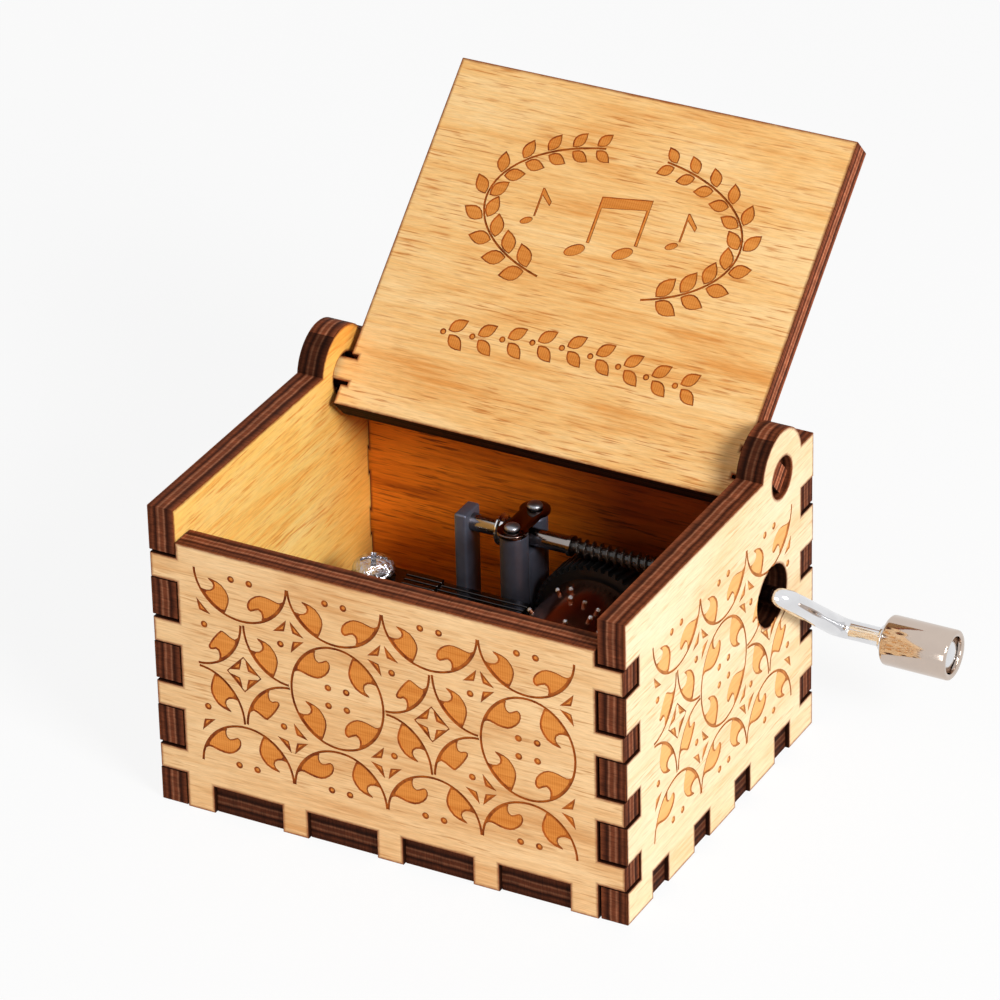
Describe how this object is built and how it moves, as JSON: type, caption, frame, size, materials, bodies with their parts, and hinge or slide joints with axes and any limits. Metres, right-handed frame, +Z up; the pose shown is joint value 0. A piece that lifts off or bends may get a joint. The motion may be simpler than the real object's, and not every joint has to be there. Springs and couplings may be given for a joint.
{
  "type": "hand crank music box",
  "caption": "Finger-jointed plywood case with a hinged lid, a comb and pinned cylinder movement inside, and a hand crank at the side.",
  "frame": {"origin": "centre of the bottom panel's underside, on the plane that the box stands on", "axes": "+Z up, +X towards the crank side, -Y towards the front wall, +Y towards the lid's hinge"},
  "size_m": [0.0825, 0.0752, 0.0699],
  "materials": {
    "plywood": "sanded plywood with burnt brown edges",
    "pale_plywood": "sanded pale plywood with burnt brown edges",
    "grey_casting": "satin slate grey casting",
    "comb_steel": "dark hardened steel",
    "chrome": "bright plated",
    "plated_steel": "zinc plated",
    "rivet_steel": "dull steel",
    "cylinder_metal": "bright plated brass",
    "black_plastic": "moulded black plastic"
  },
  "bodies": {
    "box": {"bottom_panel": "plywood", "front_wall": "plywood", "rear_wall": "plywood", "left_wall": "pale_plywood", "right_wall": "pale_plywood", "movement_bed": "grey_casting", "comb": "comb_steel", "comb_screw_front": "chrome", "comb_screw_rear": "chrome", "front_bearing_plate": "plated_steel", "plate_screw_left": "chrome", "plate_screw_right": "chrome", "bearing_clamp_plate": "chrome", "clamp_rivet_front": "rivet_steel", "clamp_rivet_rear": "rivet_steel", "mounting_screw_1": "rivet_steel", "mounting_screw_2": "rivet_steel", "mounting_screw_3": "rivet_steel"},
    "lid": {"lid_panel": "plywood"},
    "crank": {"crank_rod": "chrome", "shaft_collar": "chrome"},
    "knob": {"crank_knob": "chrome"},
    "cylinder": {"pinned_cylinder": "cylinder_metal", "cylinder_end_cap": "chrome", "cylinder_arbor": "chrome", "cylinder_gear": "black_plastic"}
  },
  "joints": [
    {"name": "lid_hinge", "type": "hinge", "parent": "box", "child": "lid", "pos_m": [0, 0.0165, 0.0397], "axis": [-1, 0, 0], "range_deg": [-138, 4.5]},
    {"name": "crank_turn", "type": "hinge", "parent": "box", "child": "crank", "pos_m": [0, 0.0138, 0.0246], "axis": [1, 0, 0], "continuous": true},
    {"name": "knob_spin", "type": "hinge", "parent": "crank", "child": "knob", "pos_m": [0.0455, 0.02676, 0.01392], "axis": [1, 0, 0], "continuous": true},
    {"name": "cylinder_turn", "type": "hinge", "parent": "box", "child": "cylinder", "pos_m": [0.009, 0, 0.01492], "axis": [0, 1, 0], "continuous": true}
  ],
  "couplings": [
    {"joint": "cylinder_turn", "follows": "crank_turn", "ratio": -0.019231}
  ]
}
